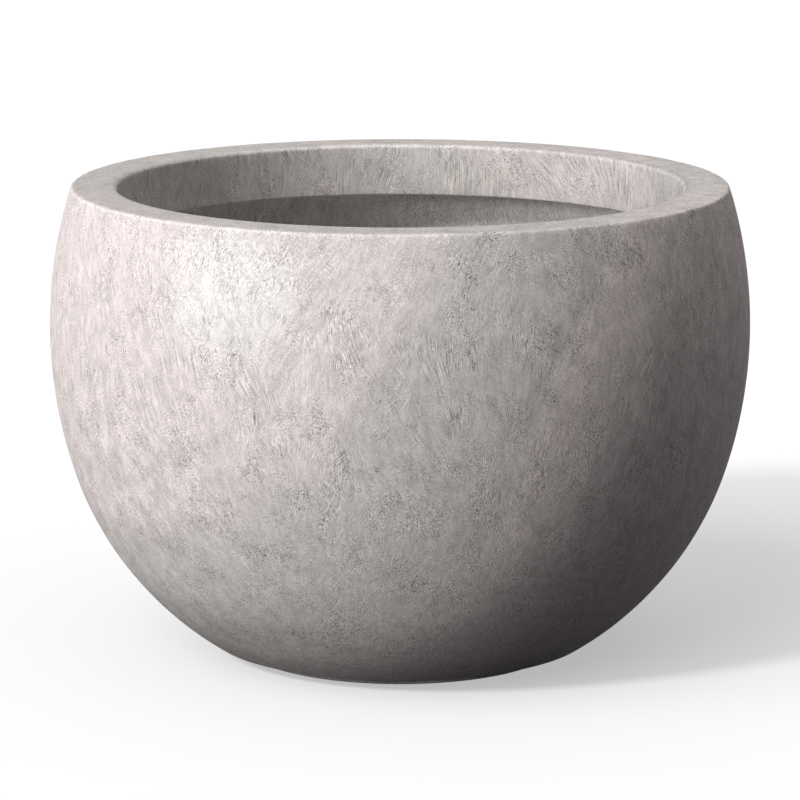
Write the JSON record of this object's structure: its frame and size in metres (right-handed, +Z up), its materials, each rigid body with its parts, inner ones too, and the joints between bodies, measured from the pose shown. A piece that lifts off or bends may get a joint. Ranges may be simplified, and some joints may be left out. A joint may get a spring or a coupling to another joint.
{
  "type": "bowl planter",
  "caption": "Round concrete bowl planter with a bulging side, a thick rim that stands inward over the cavity, a low inset foot and a rubber plug in its drain hole.",
  "frame": {"origin": "on the ground at the centre of the foot", "axes": "+Z up along the bowl's axis, out of the mouth; +X along the width of the plug's finger tab; -Y is the side that faces the viewer"},
  "size_m": [0.55, 0.5498, 0.371],
  "materials": {
    "concrete": "matte",
    "rubber": "matte"
  },
  "bodies": {
    "bowl": {"bowl": "concrete"},
    "drain_plug": {"drain_plug": "rubber"}
  },
  "joints": [
    {"name": "plug_lift", "type": "slide", "parent": "bowl", "child": "drain_plug", "axis": [0, 0, 1], "range_m": [0, 0.4]}
  ]
}
